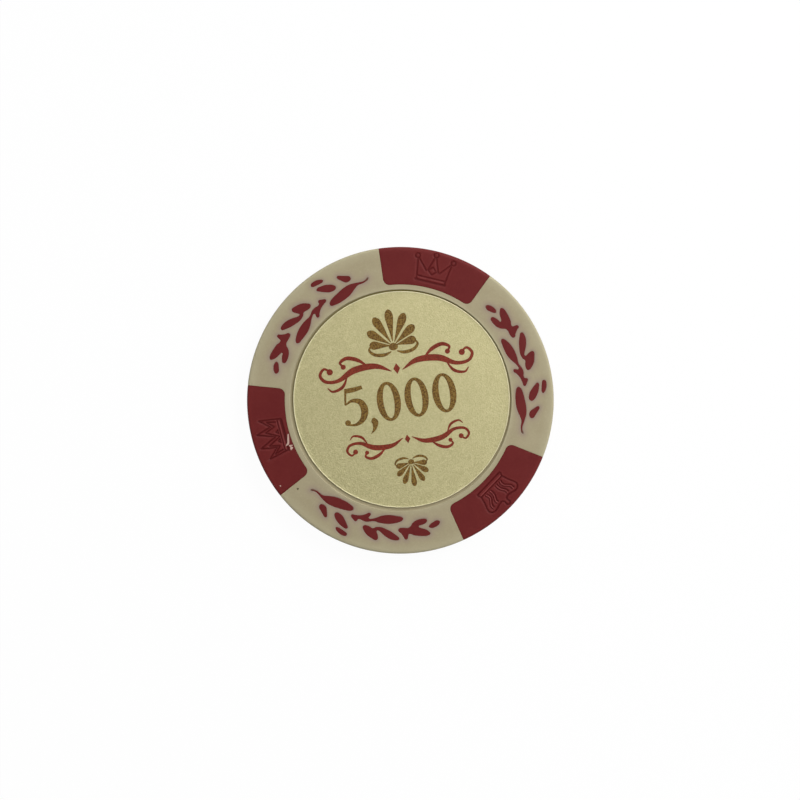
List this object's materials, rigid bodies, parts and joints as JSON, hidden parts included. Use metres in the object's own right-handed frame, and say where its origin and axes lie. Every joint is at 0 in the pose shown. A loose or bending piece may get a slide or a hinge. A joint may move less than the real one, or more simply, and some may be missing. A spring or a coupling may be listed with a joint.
{
  "type": "poker chip",
  "caption": "Flat round gaming chip with coloured edge spots, raised laurel sprigs and a round foil label on each face.",
  "frame": {"origin": "centre of the back face, in the plane of its raised rim ring, on the chip's axis", "axes": "+Z along the chip's axis, out of the front face; +X to the right and +Y up on the front face as pictured"},
  "size_m": [0.04, 0.04, 0.0034],
  "materials": {
    "ivory": "satin moulded",
    "red": "satin moulded",
    "foil": "pearl metallised foil",
    "adhesive": "clear film",
    "steel": "tumbled"
  },
  "bodies": {
    "root": {"steel_slug": "steel", "core_moulding": "red", "body_moulding": "ivory", "front_label_adhesive": "adhesive", "front_label_foil": "foil", "back_label_adhesive": "adhesive", "back_label_foil": "foil"}
  },
  "joints": []
}
